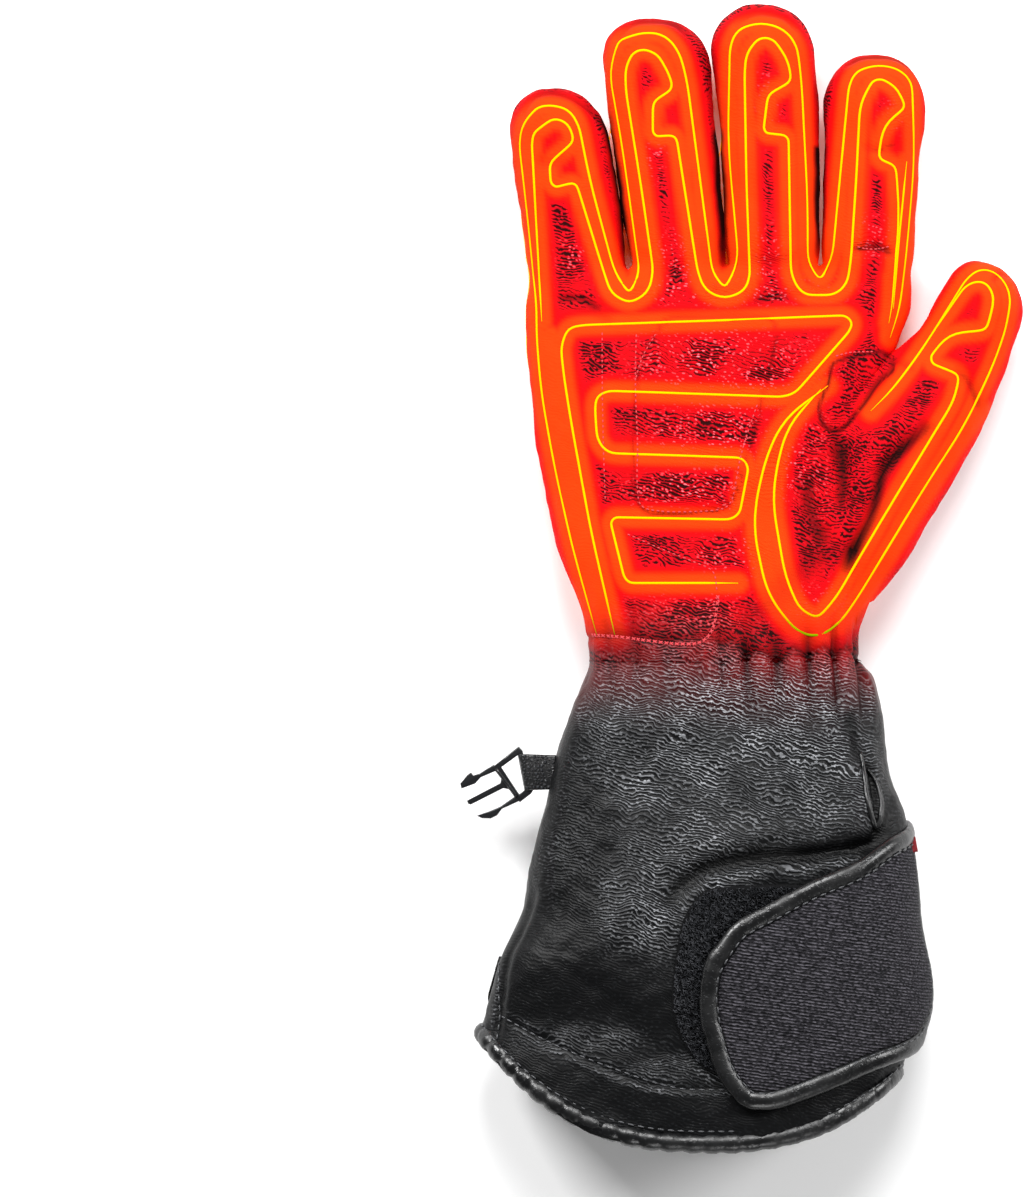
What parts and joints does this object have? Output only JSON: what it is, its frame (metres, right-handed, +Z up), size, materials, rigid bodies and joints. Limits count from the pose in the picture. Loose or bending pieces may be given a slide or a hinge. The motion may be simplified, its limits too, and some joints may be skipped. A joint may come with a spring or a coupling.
{
  "type": "heated gauntlet glove",
  "caption": "Padded leather heated glove for the right hand, with a gathered wrist, a wide gauntlet cuff, a closure strap, a joining clip and a square heat control",
  "frame": {"origin": "on the surface that the glove lies on, under the middle of the palm: the centre of the flat that the back of the hand rests on", "axes": "+Z up, the palm faces +Z; +Y towards the fingertips; +X towards the thumb"},
  "size_m": [0.1764, 0.3533, 0.0564],
  "materials": {
    "hand_leather": "grained black leather shown heated: red, with orange and yellow heat lines",
    "cuff_leather": "grained black leather, semi-gloss",
    "binding_leather": "smooth black leather binding, semi-gloss",
    "strap_fabric": "dark grey ribbed fabric",
    "loop_tape": "black fuzzy loop tape",
    "webbing": "black woven webbing",
    "clip_plastic": "black moulded plastic",
    "control_rubber": "black rubber with a thin light outline"
  },
  "bodies": {
    "root": {"hand_shell": "hand_leather", "little_finger": "hand_leather", "ring_finger": "hand_leather", "middle_finger": "hand_leather", "index_finger": "hand_leather", "thumb": "hand_leather", "elastic_wrist": "hand_leather", "gauntlet": "cuff_leather", "hem_binding": "binding_leather", "palm_patch": "hand_leather", "thumb_tab": "hand_leather", "loop_tape": "loop_tape", "pocket_patch": "cuff_leather", "strap_binding": "binding_leather", "closure_strap": "strap_fabric", "buckle_webbing": "webbing", "buckle_clip": "clip_plastic", "control_bezel": "control_rubber", "heat_button": "control_rubber", "zip_pull": "webbing", "pull_tab": "binding_leather"}
  },
  "joints": []
}
